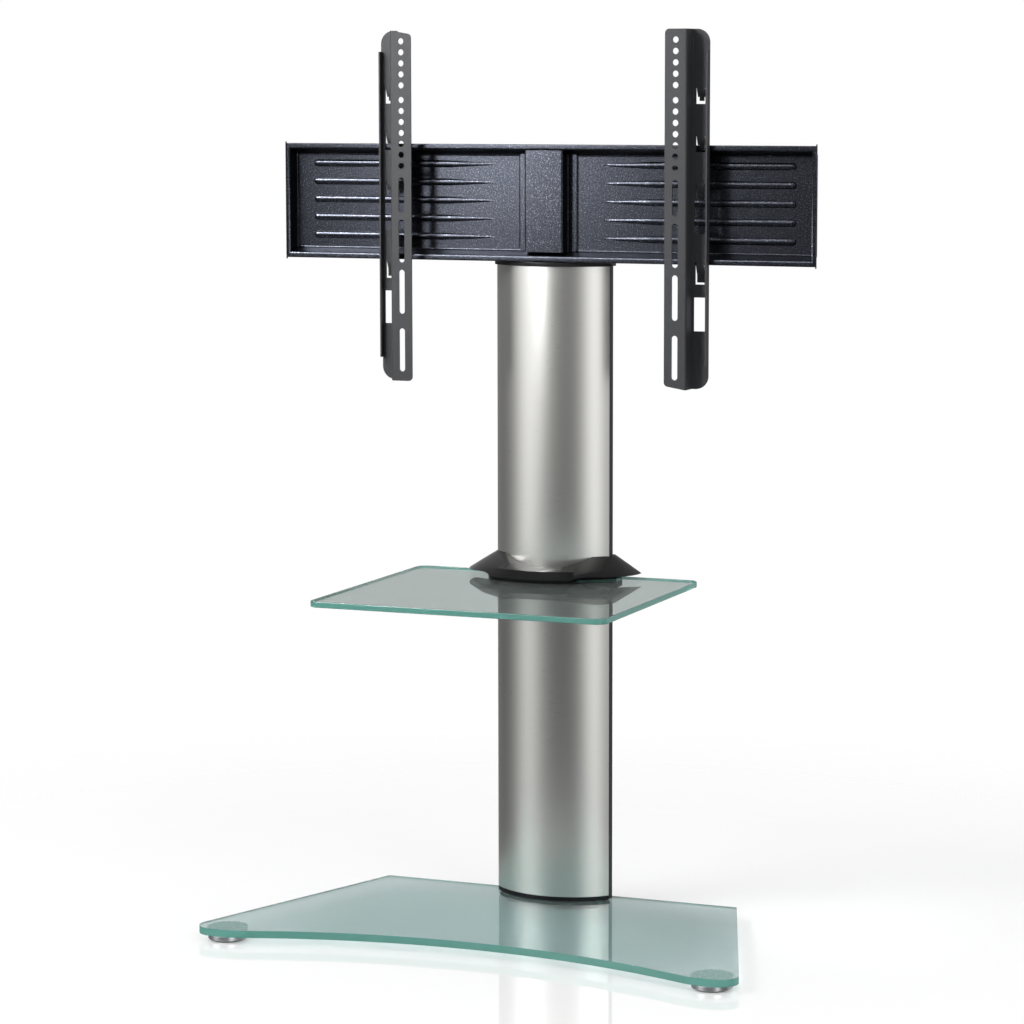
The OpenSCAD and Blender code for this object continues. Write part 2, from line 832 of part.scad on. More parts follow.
module arm(slant_up) {
    color([0.26, 0.27, 0.29]) {
        difference() {
            union() {
                sheet_xz(arm_front, arm_t) flange_face(slant_up);
                translate([flange_out - arm_t, arm_front, arm_bottom]) cube([arm_t, arm_d, arm_h]);
                sheet_xz(arm_back - arm_t, arm_t) hook_plate_face();
                translate([hook_plate_out - arm_t, arm_back - lip_d, arm_bottom + lip_bottom])
                    cube([arm_t, lip_d, arm_h - lip_top - lip_bottom]);
            }
            for (drop = hole_drops)
                translate([0, arm_front - over, first_hole_z - drop])
                    rotate([-90, 0, 0]) cylinder(d = hole_d, h = arm_t + 2 * over);
            sheet_xz(arm_front - over, arm_t + 2 * over)
                for (i = [0 : len(slot_tops) - 1])
                    slot(first_hole_z - slot_tops[i], slot_lens[i]);
            for (top = hook_tops)
                translate([hook_in, arm_back - arm_t - over, top - hook_h])
                    cube([hook_w, arm_t + 2 * over, hook_h]);
            translate([hook_in - (window_w - hook_w) / 2, arm_back - arm_t - over, view_top - view_h])
                cube([window_w, arm_t + 2 * over, view_h]);
            translate([hook_in, arm_back - arm_t - over, view_top - over])
                cube([hook_w, arm_t + 2 * over, 2 * over]);
            translate([hook_in, arm_back - arm_t - over, tongue_top - tongue_h])
                cube([hook_w, arm_t + 2 * over, tongue_h]);
            translate([hook_in - (window_w - hook_w) / 2, arm_back - arm_t - over,
                    plate_z - grip_drop - grip_h])
                cube([window_w, arm_t + 2 * over, grip_h]);
            translate([hook_in, arm_back + over, tongue_top + cord_hole_d])
                rotate([90, 0, 0]) cylinder(d = cord_hole_d, h = arm_t + 2 * over);
        }
        for (top = hook_tops) hook(top);
        tongue(hook_in + hook_side_gap, hook_w - 2 * hook_side_gap, tongue_top,
            tongue_top - hook_rise, tongue_top - tongue_h + tongue_gap);
    }
}

module left_arm() {
    translate([-arm_spacing / 2, 0, 0]) mirror([1, 0, 0]) arm(true);
}

module right_arm() {
    translate([arm_spacing / 2, 0, 0]) arm(false);
}

// Shelf and collar

module shelf_glass() {
    color([0.62, 0.8, 0.76, 0.55])
        translate([0, 0, shelf_under])
            linear_extrude(shelf_t)
                difference() {
                    translate([-shelf_w / 2, shelf_back - shelf_d])
                        rounded_rect(shelf_w, shelf_d, shelf_corner_r);
                    column_outline(slide_gap + core_w + glass_gap);
                }
}

// Oval outline round the middle, made smaller all round by inset
module oval(inset) {
    polygon([for (i = [0 : 4 * arc_n - 1]) let (a = 90 * i / arc_n)
        [(collar_w / 2 - inset) * cos(a), (collar_half_d - inset) * sin(a)]]);
}

// Everything in front of the collar's straight back
module before_back() {
    translate([-collar_w, -collar_w]) square([2 * collar_w, collar_w + collar_back_y]);
}

// One mouth seen from the front, on the right: it rises in an arc to its crown and then falls
// to its height at the side
module mouth_front(side_high) {
    crown = side_high + mouth_more;
    crown_x = mouth_in + mouth_rise;
    polygon(concat(
        [[mouth_in, -over]],
        [for (i = [0 : arc_n]) let (a = 90 * i / arc_n)
            [crown_x - mouth_rise * cos(a), crown * sin(a)]],
        [[collar_w / 2, side_high], [collar_w / 2 + over, side_high], [collar_w / 2 + over, -over]]));
}

// Places something at each collar screw
module at_collar_screws() {
    for (s = [-1, 1]) {
        translate([s * (col_w / 2 + slide_gap + core_screw_r), (side_y + col_back) / 2, 0]) children();
        translate([0, col_mid_y, 0])
            rotate([0, 0, s * screw_a])
                translate([0, -(col_r + slide_gap + core_screw_r), 0]) children();
    }
}

// One half of the collar, made higher by more, with its seat at height zero and its core
// reaching down by core_h
module collar_half(core_h, more) {
    foot = mouth_h + more;
    hollow = hollow_h + more;
    top = shoulder_h + more;
    hollow_share = 1 - (1 - shoulder_share) * (hollow - foot) / (top - foot);
    difference() {
        intersection() {
            translate([0, oval_y, 0]) {
                linear_extrude(foot) oval(0);
                translate([0, 0, foot])
                    linear_extrude(hollow - foot, scale = [hollow_share, hollow_share_d], slices = 1)
                        oval(0);
                translate([0, 0, hollow])
                    linear_extrude(top - hollow, slices = 1,
                        scale = [shoulder_share / hollow_share, shoulder_share_d / hollow_share_d])
                        scale([hollow_share, hollow_share_d]) oval(0);
            }
            linear_extrude(top) before_back();
        }
        translate([0, oval_y + collar_half_d, hollow + dip_r])
            rotate([90, 0, 0]) cylinder(r = dip_r, h = 2 * collar_half_d, $fn = fine);
        both_sides()
            translate([0, oval_y + collar_half_d, 0])
                rotate([90, 0, 0]) linear_extrude(2 * collar_half_d + over) mouth_front(foot);
        translate([0, 0, -over]) linear_extrude(top + 2 * over) column_outline(slide_gap);
    }
    translate([0, 0, -core_h])
        linear_extrude(core_h + foot)
            difference() {
                intersection() {
                    column_outline(slide_gap + core_w);
                    before_back();
                }
                column_outline(slide_gap);
            }
}

module collar_upper() {
    color([0.05, 0.05, 0.05])
        difference() {
            translate([0, 0, upper_seat]) collar_half(upper_seat - shelf_mid_z, 0);
            translate([0, 0, shelf_mid_z - over])
                at_collar_screws() cylinder(d = collar_screw_d + bolt_gap, h = collar_screw_in + over);
        }
}

module collar_lower() {
    color([0.05, 0.05, 0.05])
        difference() {
            translate([0, 0, lower_seat])
                mirror([0, 0, 1]) collar_half(shelf_mid_z - lower_seat, lower_more);
            translate([0, 0, shelf_mid_z - lower_drop])
                at_collar_screws() {
                    cylinder(d = collar_screw_d + 2 * bolt_gap, h = lower_drop + over);
                    cylinder(d = collar_head_d + 2 * bolt_gap, h = lower_drop - collar_screw_in);
                }
        }
}

module collar_gaskets() {
    color([0.2, 0.2, 0.2])
        for (z = [shelf_z, lower_seat])
            translate([0, 0, z])
                linear_extrude(gasket_t)
                    intersection() {
                        difference() {
                            translate([0, oval_y]) oval(gasket_t);
                            column_outline(slide_gap + core_w + glass_gap);
                        }
                        translate([-mouth_in, oval_y - collar_half_d])
                            square([2 * mouth_in, collar_half_d]);
                    }
}

module collar_screws() {
    color("darkgray")
        translate([0, 0, shelf_mid_z - collar_screw_in])
            at_collar_screws() {
                cylinder(d = collar_screw_d, h = 2 * collar_screw_in);
                translate([0, 0, -collar_head_h]) cylinder(d = collar_head_d, h = collar_head_h);
            }
}

base_glass();
front_foot_discs();
front_foot_bodies();
front_foot_pads();
rear_glides();
clamp_plate();
lower_gasket();
upper_gasket();
post_base_plate();
base_bolts();
base_nuts();
inner_post();
post_plug();
column_foot_ring();
column_shell();
column_back_cover();
column_top_cap();
wall_plate();
left_end_strip();
right_end_strip();
centre_bracket();
bracket_welds();
head_bolts();
head_nuts();
left_arm();
right_arm();
shelf_glass();
collar_upper();
collar_lower();
collar_gaskets();
collar_screws();
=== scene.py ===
import bpy
import json
import math
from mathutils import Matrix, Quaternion, Vector


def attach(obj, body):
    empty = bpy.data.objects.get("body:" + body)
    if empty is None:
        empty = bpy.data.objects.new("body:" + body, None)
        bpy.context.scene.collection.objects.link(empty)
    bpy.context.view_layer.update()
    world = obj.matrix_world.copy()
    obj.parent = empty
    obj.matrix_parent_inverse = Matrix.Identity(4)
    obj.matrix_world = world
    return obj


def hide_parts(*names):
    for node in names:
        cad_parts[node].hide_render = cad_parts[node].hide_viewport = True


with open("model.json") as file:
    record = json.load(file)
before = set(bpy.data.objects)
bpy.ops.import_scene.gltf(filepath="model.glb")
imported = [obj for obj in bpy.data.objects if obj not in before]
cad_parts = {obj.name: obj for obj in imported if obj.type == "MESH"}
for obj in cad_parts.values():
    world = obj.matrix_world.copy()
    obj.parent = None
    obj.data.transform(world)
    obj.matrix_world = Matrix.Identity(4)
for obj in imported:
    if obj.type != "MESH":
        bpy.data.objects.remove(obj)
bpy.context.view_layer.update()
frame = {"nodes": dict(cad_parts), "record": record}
print("frame loaded")


def mm(value):
    return value / 1000


def deselect():
    if bpy.context.object and bpy.context.object.mode != "OBJECT":
        bpy.ops.object.mode_set(mode="OBJECT")
    bpy.ops.object.select_all(action="DESELECT")


def pickOnly(piece):
    deselect()
    bpy.context.view_layer.objects.active = piece
    piece.select_set(True)


# camera: stands right of the middle and looks down a little

cameraSet = {"place": (1.7552, -4.2733, 1.1596), "yaw": 22.26, "pitch": 7.12, "roll": -0.10,
             "lens": 121.7, "sensor": 36}

cameraData = bpy.data.cameras.new("camera")
cameraData.sensor_width = cameraSet["sensor"]
cameraData.lens = cameraSet["lens"]
camera = bpy.data.objects.new("camera", cameraData)
bpy.context.scene.collection.objects.link(camera)
camera.location = cameraSet["place"]
camera.rotation_mode = "QUATERNION"
yaw, pitch, roll = (math.radians(cameraSet[key]) for key in ("yaw", "pitch", "roll"))
forward = Vector((-math.sin(yaw) * math.cos(pitch), math.cos(yaw) * math.cos(pitch),
                  -math.sin(pitch)))
camera.rotation_quaternion = Quaternion(forward, -roll) @ forward.to_track_quat("-Z", "Y")
bpy.context.scene.camera = camera
bpy.context.scene.view_settings.view_transform = "Standard"
print("camera set")


# shader maths: a socket that takes plain expressions, each of which adds its Math nodes


class Value:
    def __init__(self, tree, socket):
        self.tree = tree
        self.socket = socket

    def math(self, operation, other=None, swapped=False):
        node = self.tree.nodes.new("ShaderNodeMath")
        node.operation = operation
        own, theirs = (1, 0) if swapped else (0, 1)
        self.tree.links.new(self.socket, node.inputs[own])
        if isinstance(other, Value):
            self.tree.links.new(other.socket, node.inputs[theirs])
        elif other is not None:
            node.inputs[theirs].default_value = other
        return Value(self.tree, node.outputs[0])

    def __add__(self, other):
        return self.math("ADD", other)

    def __radd__(self, other):
        return self.math("ADD", other)

    def __sub__(self, other):
        return self.math("SUBTRACT", other)

    def __rsub__(self, other):
        return self.math("SUBTRACT", other, swapped=True)

    def __mul__(self, other):
        return self.math("MULTIPLY", other)

    def __rmul__(self, other):
        return self.math("MULTIPLY", other)

    def __truediv__(self, other):
        return self.math("DIVIDE", other)

    def __rtruediv__(self, other):
        return self.math("DIVIDE", other, swapped=True)

    def __abs__(self):
        return self.math("ABSOLUTE")

    def __gt__(self, other):
        return self.math("GREATER_THAN", other)

    def __lt__(self, other):
        return self.math("LESS_THAN", other)

    def between(self, low, high):
        return self.math("MAXIMUM", low).math("MINIMUM", high)

    def clamped(self):
        return self.between(0.0, 1.0)


class Finish:
    def __init__(self, name, **constants):
        self.material = bpy.data.materials.new(name)
        self.material.use_nodes = True
        self.tree = self.material.node_tree
        self.shader = self.tree.nodes["Principled BSDF"]
        self.output = self.tree.nodes["Material Output"]
        self.place = Value(self.tree, self.tree.nodes.new("ShaderNodeTexCoord").outputs["Object"])
        for key, value in constants.items():
            self.shader.inputs[key.replace("_", " ")].default_value = value

    def node(self, kind, settings=None, output=0, **sockets):
        # a socket goes by its name with _ for each space, or by i and its number
        node = self.tree.nodes.new("ShaderNode" + kind)
        for key, value in (settings or {}).items():
            setattr(node, key, value)
        for key, value in sockets.items():
            numbered = key[0] == "i" and key[1:].isdigit()
            socket = node.inputs[int(key[1:]) if numbered else key.replace("_", " ")]
            if isinstance(value, Value):
                self.tree.links.new(value.socket, socket)
            else:
                socket.default_value = value
        return Value(self.tree, node.outputs[output])

    def noise(self, scale, detail, rough, stretch=None):
        place = self.node("Mapping", Vector=self.place, Scale=stretch) if stretch else self.place
        return self.node("TexNoise", Vector=place, Scale=scale, Detail=detail, Roughness=rough)

    def colours(self, factor, a, b):
        sockets = {"i0": factor}
        for key, value in (("i6", a), ("i7", b)):
            sockets[key] = value if isinstance(value, Value) else (*value, 1)
        return self.node("Mix", {"data_type": "RGBA"}, output=2, **sockets)

    def bump(self, height, strength, depth):
        # depth in mm
        return self.node("Bump", Height=height, Strength=strength, Distance=mm(depth))

    def feed(self, **sockets):
        for key, value in sockets.items():
            self.tree.links.new(value.socket, self.shader.inputs[key.replace("_", " ")])

    def show(self, mixed):
        self.tree.links.new(mixed.socket, self.output.inputs[0])


def srgb(r, g, b):
    # the standard curve from screen values to light
    def one(c):
        c = c / 255
        return c / 12.92 if c <= 0.04045 else ((c + 0.055) / 1.055) ** 2.4
    return (one(r), one(g), one(b))


def times(colour, share, lift=0.0):
    return tuple(c * share + lift for c in colour)


print("helpers ready")


# finishes. A pattern is (scale, detail, roughness), with its stretch along X, Y and Z where
# it has one, and a bump is (strength, depth in mm)

paintSet = {"grain": (520, 3, 0.6), "cells": 420, "clouds": (9, 3, 0.5),
            "grainShare": 0.9, "cellShare": 0.7, "cloudShare": 0.2, "darker": 0.4,
            "specks": (560, 2, 0.6), "speckFrom": 0.56, "speckSharpness": 9, "speckShare": 0.42,
            "roughOver": 0.15, "bump": (0.09, 0.3)}


def hammeredPaint(name, dark, light, speck, rough):
    s = paintSet
    f = Finish(name, Metallic=1.0)
    grain = f.noise(*s["grain"])
    cells = f.node("TexVoronoi", {"feature": "F1"}, Vector=f.place, Scale=s["cells"])
    clouds = f.noise(*s["clouds"])
    mottled = grain * s["grainShare"] + cells * s["cellShare"] + clouds * s["cloudShare"]
    base = f.colours((mottled - s["darker"]).clamped(), dark, light)
    specks = ((f.noise(*s["specks"]) - s["speckFrom"]) * s["speckSharpness"]).clamped()
    f.feed(Base_Color=f.colours(specks * s["speckShare"], base, speck),
           Roughness=(grain * s["roughOver"] + rough), Normal=f.bump(cells + grain, *s["bump"]))
    return f


powderSet = {"ior": 1.4, "grain": (1400, 3, 0.6), "clouds": (14, 3, 0.5), "grainShare": 0.7,
             "cloudShare": 0.4, "darker": 0.1, "roughOver": 0.2, "bump": (0.15, 0.08)}


def powderCoat(name, dark, light, rough):
    s = powderSet
    f = Finish(name, Metallic=0.0, IOR=s["ior"])
    grain = f.noise(*s["grain"])
    mottled = grain * s["grainShare"] + f.noise(*s["clouds"]) * s["cloudShare"]
    f.feed(Base_Color=f.colours((mottled - s["darker"]).clamped(), dark, light),
           Roughness=(grain * s["roughOver"] + rough), Normal=f.bump(grain, *s["bump"]))
    return f


brushSet = {"lines": (1.0, 3, 0.6, (40, 40, 1400)), "fine": (1.0, 2, 0.6, (120, 120, 3000)),
            "clouds": (5, 3, 0.5), "lineShare": 0.5, "fineShare": 0.35, "cloudShare": 0.15,
            "roughOver": 0.04, "bump": (0.01, 0.02)}


def brushedAluminium(name, dark, light, rough):
    # the brush lines run round the column
    s = brushSet
    f = Finish(name, Metallic=1.0)
    lines = f.noise(*s["lines"])
    fine = f.noise(*s["fine"])
    clouds = f.noise(*s["clouds"])
    grain = lines * s["lineShare"] + fine * s["fineShare"] + clouds * s["cloudShare"]
    grain = grain.clamped()
    f.feed(Base_Color=f.colours(grain, dark, light), Roughness=(grain * s["roughOver"] + rough),
           Normal=f.bump(lines + fine, *s["bump"]))
    return f


steelSet = {"turned": (1.0, 2, 0.5, (300, 300, 3000)), "darkShare": 0.82, "roughOver": 0.12,
            "bump": (0.1, 0.05)}


def steel(name, colour, rough, glow=0.0):
    # a piece under glass gets a little painted glow: painted light that stands in for the light the
    # glass would let through
    s = steelSet
    f = Finish(name, Metallic=1.0, Emission_Color=(*colour, 1), Emission_Strength=glow)
    turned = f.noise(*s["turned"])
    f.feed(Base_Color=f.colours(turned, times(colour, s["darkShare"]), colour),
           Roughness=(turned * s["roughOver"] + rough), Normal=f.bump(turned, *s["bump"]))
    return f


glossSet = {"ior": 1.5, "shine": 0.09, "wave": (30, 2, 0.5), "fine": (900, 2, 0.5),
            "lightShare": 1.6, "lift": 0.002, "roughOver": 0.06, "bump": (0.03, 0.4)}


def glossBlack(name, colour, rough):
    s = glossSet
    f = Finish(name, Metallic=0.0, IOR=s["ior"], Specular_IOR_Level=s["shine"])
    wave = f.noise(*s["wave"])
    fine = f.noise(*s["fine"])
    f.feed(Base_Color=f.colours(wave, colour, times(colour, s["lightShare"], s["lift"])),
           Roughness=(fine * s["roughOver"] + rough), Normal=f.bump(wave, *s["bump"]))
    return f


rubberSet = {"grain": (1200, 3, 0.6), "darkShare": 0.7, "lightShare": 1.4, "rough": 0.6,
             "roughOver": 0.2, "bump": (0.3, 0.1)}


def rubber(name, colour):
    s = rubberSet
    f = Finish(name, Metallic=0.0)
    grain = f.noise(*s["grain"])
    dark, light = times(colour, s["darkShare"]), times(colour, s["lightShare"])
    f.feed(Base_Color=f.colours(grain, dark, light),
           Roughness=(grain * s["roughOver"] + s["rough"]), Normal=f.bump(grain, *s["bump"]))
    return f


glassSet = {"clear": 0.9, "clouds": (5, 3, 0.5), "fine": (700, 2, 0.5), "darkShare": 0.96,
            "rough": 0.02, "roughOver": 0.03, "edgeClear": 0.3, "edgeRough": 0.15, "edgeIor": 1.5,
            "edgeBelow": 0.6}


def tintedGlass(name, face, edge, ior):
    # a face is part of a cut edge where its normal's Z, without its sign, is below edgeBelow
    s = glassSet
    f = Finish(name, Metallic=0.0, Transmission_Weight=s["clear"], IOR=ior)
    clouds = f.noise(*s["clouds"])
    fine = f.noise(*s["fine"])
    f.feed(Base_Color=f.colours(clouds, times(face, s["darkShare"]), face),
           Roughness=(fine * s["roughOver"] + s["rough"]))
    side = f.node("BsdfPrincipled", Base_Color=(*edge, 1), Roughness=s["edgeRough"],
                  Transmission_Weight=s["edgeClear"], IOR=s["edgeIor"])
    flatness = abs(f.node("SeparateXYZ", output=2, Vector=f.node("NewGeometry", output=1)))
    f.show(f.node("MixShader", i0=(flatness < s["edgeBelow"]),
                  i1=Value(f.tree, f.shader.outputs[0]), i2=side))
    return f


finishes = {
    "hammered": hammeredPaint("hammeredBlueGrey", (0.018, 0.0195, 0.0245), (0.036, 0.039, 0.049),
                              (0.22, 0.235, 0.275), 0.22),
    "hammeredDark": hammeredPaint("hammeredBlack", srgb(26, 27, 30), srgb(48, 50, 56),
                                  srgb(80, 84, 92), 0.42),
    "arm": powderCoat("darkGreyPowderCoat", srgb(38, 39, 42), srgb(58, 59, 63), 0.45),
    "aluminium": brushedAluminium("brushedAluminium", srgb(219, 219, 215), srgb(229, 228, 224),
                                  0.26),
    "blackCover": powderCoat("blackCover", srgb(20, 20, 22), srgb(34, 34, 36), 0.45),
    "gloss": glossBlack("glossBlackPlastic", (0.0035, 0.0035, 0.0037), 0.18),
    "trim": glossBlack("satinBlackTrim", (0.012, 0.012, 0.013), 0.28),
    "rubber": rubber("blackRubber", (0.02, 0.02, 0.02)),
    "chrome": steel("polishedChrome", srgb(214, 216, 218), 0.08),
    "steel": steel("plainSteel", srgb(165, 166, 168), 0.3),
    # the foot discs' glow of 0.2 is painted light, a glow that stands in for the light through the
    # base glass
    "disc": steel("satinDiscPaintedGlow", srgb(206, 232, 228), 0.2, 0.2),
    "baseGlass": tintedGlass("greenTintedGlassBase", (0.64, 0.79, 0.78), srgb(106, 172, 160),
                             1.35),
    "shelfGlass": tintedGlass("greenTintedGlassShelf", (0.44, 0.49, 0.475), srgb(106, 172, 160),
                              1.02),
}

nodeFinish = {
    "base_glass": "baseGlass", "front_foot_discs": "disc", "front_foot_bodies": "chrome",
    "front_foot_pads": "rubber", "rear_glides": "rubber", "clamp_plate": "blackCover",
    "lower_gasket": "rubber", "upper_gasket": "rubber", "post_base_plate": "blackCover",
    "base_bolts": "steel", "base_nuts": "steel", "inner_post": "blackCover", "post_plug": "trim",
    "column_foot_ring": "trim", "column_shell": "aluminium", "column_back_cover": "blackCover",
    "column_top_cap": "trim", "wall_plate": "hammered", "left_end_strip": "hammeredDark",
    "right_end_strip": "hammeredDark", "centre_bracket": "hammered", "bracket_welds": "hammered",
    "head_bolts": "steel", "head_nuts": "steel", "left_arm": "arm", "right_arm": "arm",
    "shelf_glass": "shelfGlass", "collar_upper": "gloss", "collar_lower": "gloss",
    "collar_gaskets": "rubber", "collar_screws": "steel",
}
for nodeName, finishName in nodeFinish.items():
    piece = frame["nodes"][nodeName]
    piece.data.materials.clear()
    piece.data.materials.append(finishes[finishName].material)
print("finishes set")


# dressed pieces: merged copies of the CAD nodes, with the sheets' bends and soft edges.
# Lengths in mm, angles in degrees

mergeSet = {"doubles": 0.002, "flat": 0.4}
pickSet = {"near": 0.06, "slack": 0.1, "leastHeight": 1}
bodyOf = {n: body for body, names in frame["record"]["behaviour"]["bodies"].items() for n in names}


def dressed(nodeName, pieceName):
    source = frame["nodes"][nodeName]
    piece = source.copy()
    piece.data = source.data.copy()
    piece.name = piece.data.name = pieceName
    for key in list(piece.keys()):
        del piece[key]
    piece.parent = None
    bpy.context.scene.collection.objects.link(piece)
    pickOnly(piece)
    bpy.ops.mesh.customdata_custom_splitnormals_clear()
    bpy.ops.object.mode_set(mode="EDIT")
    bpy.ops.mesh.select_mode(type="VERT")
    bpy.ops.mesh.select_all(action="SELECT")
    bpy.ops.mesh.remove_doubles(threshold=mm(mergeSet["doubles"]))
    bpy.ops.mesh.dissolve_limited(angle_limit=math.radians(mergeSet["flat"]))
    bpy.ops.object.mode_set(mode="OBJECT")
    return piece


def bendEdges(piece, test, radius, steps):
    # test gets the two ends of an edge in mm
    pickOnly(piece)
    mesh = piece.data
    bpy.ops.object.mode_set(mode="EDIT")
    bpy.ops.mesh.select_mode(type="EDGE")
    bpy.ops.mesh.select_all(action="DESELECT")
    bpy.ops.object.mode_set(mode="OBJECT")
    chosen = 0
    for edge in mesh.edges:
        a, b = (mesh.vertices[v].co * 1000 for v in edge.vertices)
        if test(a, b):
            edge.select = True
            chosen += 1
    bpy.ops.object.mode_set(mode="EDIT")
    bpy.ops.mesh.bevel(offset=mm(radius), offset_type="OFFSET", segments=steps, profile=0.5,
                       affect="EDGES", clamp_overlap=True)
    bpy.ops.object.mode_set(mode="OBJECT")
    print("bend", piece.name, chosen)


def softEdges(piece, width, steps, angle=35):
    # rounds the edges that turn by more than angle
    pickOnly(piece)
    edge = piece.modifiers.new("softEdge", "BEVEL")
    edge.width = mm(width)
    edge.segments = steps
    edge.limit_method = "ANGLE"
    edge.angle_limit = math.radians(angle)
    bpy.ops.object.modifier_apply(modifier=edge.name)


def finished(piece, nodeName, smooth=40):
    pickOnly(piece)
    bpy.ops.object.shade_smooth_by_angle(angle=math.radians(smooth))
    weighted = piece.modifiers.new("weighted", "WEIGHTED_NORMAL")
    weighted.keep_sharp = True
    bpy.ops.object.modifier_apply(modifier=weighted.name)
    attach(piece, bodyOf[nodeName])
    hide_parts(nodeName)


def near(value, target):
    return abs(value - target) < pickSet["near"]


def uprightAt(x, y):
    # vertical edges at this place in plan
    def test(a, b):
        here = near(a.x, x) and near(b.x, x) and near(a.y, y) and near(b.y, y)
        return here and abs(a.z - b.z) > pickSet["leastHeight"]
    return test


def outlineAt(x, low, high, y):
    # the rectangular outline at this depth
    slack = pickSet["slack"]

    def test(a, b):
        if not (near(a.y, y) and near(b.y, y)):
            return False
        if near(abs(a.x), x) and near(b.x, a.x):
            return low - slack < min(a.z, b.z) and max(a.z, b.z) < high + slack
        level = any(near(a.z, z) and near(b.z, z) for z in (low, high))
        return level and max(abs(a.x), abs(b.x)) < x + slack
    return test


armSet = {"row": 200, "flangeOut": 16.5, "plateOut": 40, "sheet": 2, "front": 102.5, "back": 128.2,
          "outerBend": 2.6, "innerBend": 0.8, "bendSteps": 4, "soft": (0.3, 2)}


def dressArm(nodeName, pieceName, side):
    arm = dressed(nodeName, pieceName)
    s = armSet
    sheet, outer, inner = s["sheet"], s["outerBend"], s["innerBend"]
    web, plateEdge = s["row"] + s["flangeOut"], s["row"] + s["plateOut"]
    bends = [(web, s["front"], outer), (web - sheet, s["front"] + sheet, inner),
             (web - sheet, s["back"], outer), (web, s["back"] - sheet, inner),
             (plateEdge, s["back"], outer), (plateEdge - sheet, s["back"] - sheet, inner)]
    for x, y, radius in bends:
        bendEdges(arm, uprightAt(side * x, y), radius, s["bendSteps"])
    softEdges(arm, *s["soft"])
    finished(arm, nodeName)


dressArm("left_arm", "leftArm", -1)
dressArm("right_arm", "rightArm", 1)
print("arms dressed")

plateSet = {"half": 388, "low": 912, "high": 1072, "rimY": 128.5, "rimWidth": 5.5, "rimHeight": 7.5,
            "depth": 21.5, "draftW": 1, "draftH": 6.5, "floorBend": (2.6, 4), "wallBend": (2.2, 4),
            "rimRound": (1.6, 3), "soft": (0.25, 2, 50), "smooth": 32}
s = plateSet
plate = dressed("wall_plate", "wallPlate")
innerX = s["half"] - s["rimWidth"]
innerLow, innerHigh = s["low"] + s["rimHeight"], s["high"] - s["rimHeight"]
floorEdges = outlineAt(innerX - s["draftW"], innerLow + s["draftH"], innerHigh - s["draftH"],
                       s["rimY"] + s["depth"])
bendEdges(plate, floorEdges, *s["floorBend"])
bendEdges(plate, outlineAt(innerX, innerLow, innerHigh, s["rimY"]), *s["wallBend"])
bendEdges(plate, outlineAt(s["half"], s["low"], s["high"], s["rimY"]), *s["rimRound"])
softEdges(plate, *s["soft"])
finished(plate, "wall_plate", s["smooth"])
print("wall plate dressed")

bracketSet = {"half": 28.5, "face": 130, "sheet": 2, "floor": 150, "outer": (3, 4), "inner": (1, 3),
              "foot": (1.4, 3), "soft": (0.35, 2)}
s = bracketSet
bracket = dressed("centre_bracket", "centreBracket")
for side in (-1, 1):
    bendEdges(bracket, uprightAt(side * s["half"], s["face"]), *s["outer"])
    bendEdges(bracket, uprightAt(side * (s["half"] - s["sheet"]), s["face"] + s["sheet"]),
              *s["inner"])
    bendEdges(bracket, uprightAt(side * s["half"], s["floor"] - s["sheet"]), *s["foot"])
softEdges(bracket, *s["soft"])
finished(bracket, "centre_bracket")
print("bracket dressed")

# (node, piece, width of the soft edge, steps, least angle)
softSet = [
    ("base_glass", "baseGlass", 1.3, 3, 40), ("shelf_glass", "shelfGlass", 1.2, 3, 40),
    ("front_foot_bodies", "frontFeet", 0.4, 2, 30), ("front_foot_discs", "footDiscs", 0.3, 2, 30),
    ("column_top_cap", "topCap", 1.1, 3, 40), ("column_foot_ring", "footRing", 0.8, 3, 40),
    ("column_shell", "columnShell", 0.3, 2, 50), ("column_back_cover", "backCover", 0.8, 2, 40),
    ("collar_upper", "upperCollar", 1.6, 4, 24), ("collar_lower", "lowerCollar", 1.6, 4, 24),
    ("left_end_strip", "leftEndStrip", 0.3, 2, 40),
    ("right_end_strip", "rightEndStrip", 0.3, 2, 40),
    ("inner_post", "innerPost", 0.8, 3, 40), ("post_plug", "postPlug", 0.6, 2, 40),
    ("head_bolts", "headBolts", 0.35, 2, 35), ("head_nuts", "headNuts", 0.35, 2, 35),
]
for nodeName, pieceName, width, steps, angle in softSet:
    piece = dressed(nodeName, pieceName)
    softEdges(piece, width, steps, angle)
    finished(piece, nodeName)
    print("dressed", pieceName, len(piece.data.polygons))
print("pieces dressed")


# floor: seen from the camera it is as white as the background, and runs out into it.
# In mirror images of it the fade starts nearer and is shorter

stageSet = {"floor": 0.86, "floorSize": 6, "rough": 0.04, "ior": 3.0, "clouds": (3, 2, 0.5),
            "cloudDepth": 0.01, "glow": 0.29, "fadeFrom": 0.85, "fadeOver": 0.65,
            "mirrorNearer": 0.6, "mirrorShorter": 0.65}
s = stageSet
deselect()
bpy.ops.mesh.primitive_plane_add(size=s["floorSize"], location=(0, 0, 0))
floor = bpy.context.object
floor.name = "floor"
f = Finish("paleGlossyFloor", Roughness=s["rough"], IOR=s["ior"])
pale, paler = (s["floor"],) * 3, (s["floor"] - s["cloudDepth"],) * 3
f.feed(Base_Color=f.colours(f.noise(*s["clouds"]), pale, paler))
reach = f.node("VectorMath", {"operation": "LENGTH"}, output=1, i0=f.place)
seen = f.node("LightPath", output=0)
mirrorSeen = f.node("LightPath", output=3)
glow = f.node("Emission", Color=(1, 1, 1, 1), Strength=seen * s["glow"])
lit = f.node("AddShader", i0=Value(f.tree, f.shader.outputs[0]), i1=glow)
past = reach + mirrorSeen * s["mirrorNearer"] - s["fadeFrom"]
far = (past / (1 - mirrorSeen * s["mirrorShorter"]) / s["fadeOver"]).clamped()
gone = f.node("BsdfTransparent", Color=(1, 1, 1, 1))
f.show(f.node("MixShader", i0=far, i1=lit, i2=gone))
floor.data.materials.append(f.material)
print("floor set")


